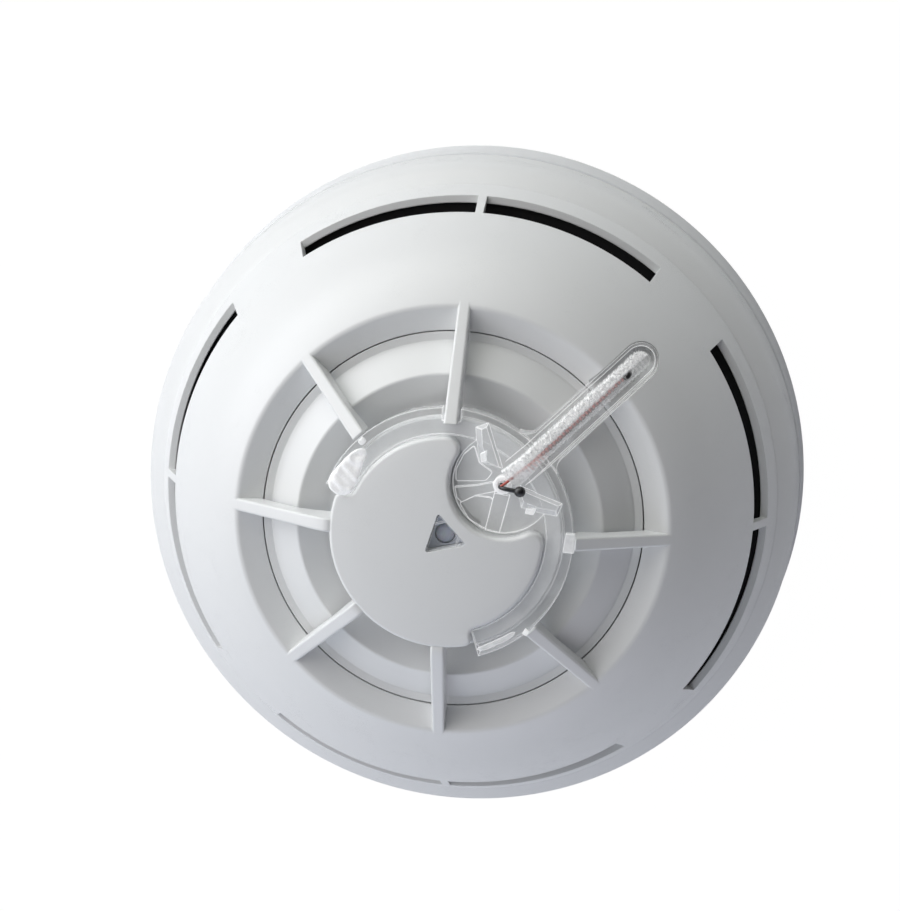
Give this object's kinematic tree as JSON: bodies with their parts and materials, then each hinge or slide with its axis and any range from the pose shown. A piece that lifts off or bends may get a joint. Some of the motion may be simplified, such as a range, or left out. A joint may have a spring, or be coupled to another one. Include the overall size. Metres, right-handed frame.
{
  "type": "heat detector",
  "caption": "Round white ceiling heat detector with a slotted dome, a ribbed cage, a clear sensor guard, a thermistor bead and a twist-off base.",
  "frame": {"origin": "centre of the base's mounting face", "axes": "+Z from the mounting face to the sensing nose, +X along one cage rib, the clear arm at 45.6 degrees from +X towards +Y"},
  "size_m": [0.1096, 0.1096, 0.056],
  "materials": {
    "white_abs": "smooth moulded, semi-gloss",
    "dish_abs": "smooth moulded, semi-gloss",
    "base_abs": "fine satin moulded",
    "clear_pc": "clear, polished",
    "lamp_epoxy": "clear epoxy, faint blue",
    "black_abs": "matte moulded",
    "bead_epoxy": "glossy dipped coating",
    "red_sleeving": "satin insulation",
    "black_sleeving": "satin insulation",
    "board_laminate": "solder mask",
    "component_black": "moulded package",
    "capacitor_can": "bright can",
    "natural_nylon": "natural moulded",
    "contact_steel": "rolled strip",
    "zinc_steel": "bright zinc plate",
    "tinned_leg": "tinned"
  },
  "bodies": {
    "base": {"mounting_base": "base_abs"},
    "head": {"outer_cover": "white_abs", "inner_dish": "dish_abs", "sensor_guard": "clear_pc", "lead_strip": "clear_pc", "window_lens": "clear_pc", "status_led": "lamp_epoxy", "led_leg_a": "tinned_leg", "led_leg_b": "tinned_leg", "led_spacer": "natural_nylon", "thermistor": "bead_epoxy", "lead_red": "red_sleeving", "lead_black": "black_sleeving", "lead_sleeve": "black_sleeving", "chamber_liner": "black_abs", "circuit_board": "board_laminate", "microcontroller": "component_black", "capacitor": "capacitor_can", "rectifier": "component_black", "surge_diode": "component_black", "lead_header": "natural_nylon", "rear_chassis": "base_abs", "board_screw_1": "zinc_steel", "board_screw_2": "zinc_steel", "board_screw_3": "zinc_steel", "cover_screw_1": "zinc_steel", "cover_screw_2": "zinc_steel", "cover_screw_3": "zinc_steel", "head_contact_1": "contact_steel", "head_contact_2": "contact_steel", "head_contact_3": "contact_steel", "head_contact_4": "contact_steel"},
    "leaf_1": {"contact_leaf_1": "contact_steel"},
    "clamp_1": {"clamp_plate_1": "zinc_steel"},
    "screw_1": {"terminal_screw_1": "zinc_steel"},
    "leaf_2": {"contact_leaf_2": "contact_steel"},
    "clamp_2": {"clamp_plate_2": "zinc_steel"},
    "screw_2": {"terminal_screw_2": "zinc_steel"},
    "leaf_3": {"contact_leaf_3": "contact_steel"},
    "clamp_3": {"clamp_plate_3": "zinc_steel"},
    "screw_3": {"terminal_screw_3": "zinc_steel"},
    "leaf_4": {"contact_leaf_4": "contact_steel"},
    "clamp_4": {"clamp_plate_4": "zinc_steel"},
    "screw_4": {"terminal_screw_4": "zinc_steel"}
  },
  "joints": [
    {"name": "head_twist", "type": "hinge", "parent": "base", "child": "head", "pos_m": [0, 0, 0.008], "axis": [0, 0, 1], "range_deg": [0, 20]},
    {"name": "leaf_flex_1", "type": "hinge", "parent": "base", "child": "leaf_1", "pos_m": [0.01895, 0.01895, 0.0035], "axis": [-0.7071, 0.7071, 0], "range_deg": [0, 2]},
    {"name": "clamp_lift_1", "type": "slide", "parent": "base", "child": "clamp_1", "axis": [0, 0, 1], "range_m": [0, 0.0012]},
    {"name": "screw_turn_1", "type": "hinge", "parent": "clamp_1", "child": "screw_1", "pos_m": [0.02157, 0.02157, 0.0051], "axis": [0, 0, 1], "range_deg": [0, 720]},
    {"name": "leaf_flex_2", "type": "hinge", "parent": "base", "child": "leaf_2", "pos_m": [-0.01895, 0.01895, 0.0035], "axis": [-0.7071, -0.7071, 0], "range_deg": [0, 2]},
    {"name": "clamp_lift_2", "type": "slide", "parent": "base", "child": "clamp_2", "axis": [0, 0, 1], "range_m": [0, 0.0012]},
    {"name": "screw_turn_2", "type": "hinge", "parent": "clamp_2", "child": "screw_2", "pos_m": [-0.02157, 0.02157, 0.0051], "axis": [0, 0, 1], "range_deg": [0, 720]},
    {"name": "leaf_flex_3", "type": "hinge", "parent": "base", "child": "leaf_3", "pos_m": [-0.01895, -0.01895, 0.0035], "axis": [0.7071, -0.7071, 0], "range_deg": [0, 2]},
    {"name": "clamp_lift_3", "type": "slide", "parent": "base", "child": "clamp_3", "axis": [0, 0, 1], "range_m": [0, 0.0012]},
    {"name": "screw_turn_3", "type": "hinge", "parent": "clamp_3", "child": "screw_3", "pos_m": [-0.02157, -0.02157, 0.0051], "axis": [0, 0, 1], "range_deg": [0, 720]},
    {"name": "leaf_flex_4", "type": "hinge", "parent": "base", "child": "leaf_4", "pos_m": [0.01895, -0.01895, 0.0035], "axis": [0.7071, 0.7071, 0], "range_deg": [0, 2]},
    {"name": "clamp_lift_4", "type": "slide", "parent": "base", "child": "clamp_4", "axis": [0, 0, 1], "range_m": [0, 0.0012]},
    {"name": "screw_turn_4", "type": "hinge", "parent": "clamp_4", "child": "screw_4", "pos_m": [0.02157, -0.02157, 0.0051], "axis": [0, 0, 1], "range_deg": [0, 720]}
  ],
  "couplings": [
    {"joint": "screw_turn_1", "follows": "clamp_lift_1", "rad_per_m": 10472},
    {"joint": "screw_turn_2", "follows": "clamp_lift_2", "rad_per_m": 10472},
    {"joint": "screw_turn_3", "follows": "clamp_lift_3", "rad_per_m": 10472},
    {"joint": "screw_turn_4", "follows": "clamp_lift_4", "rad_per_m": 10472}
  ]
}
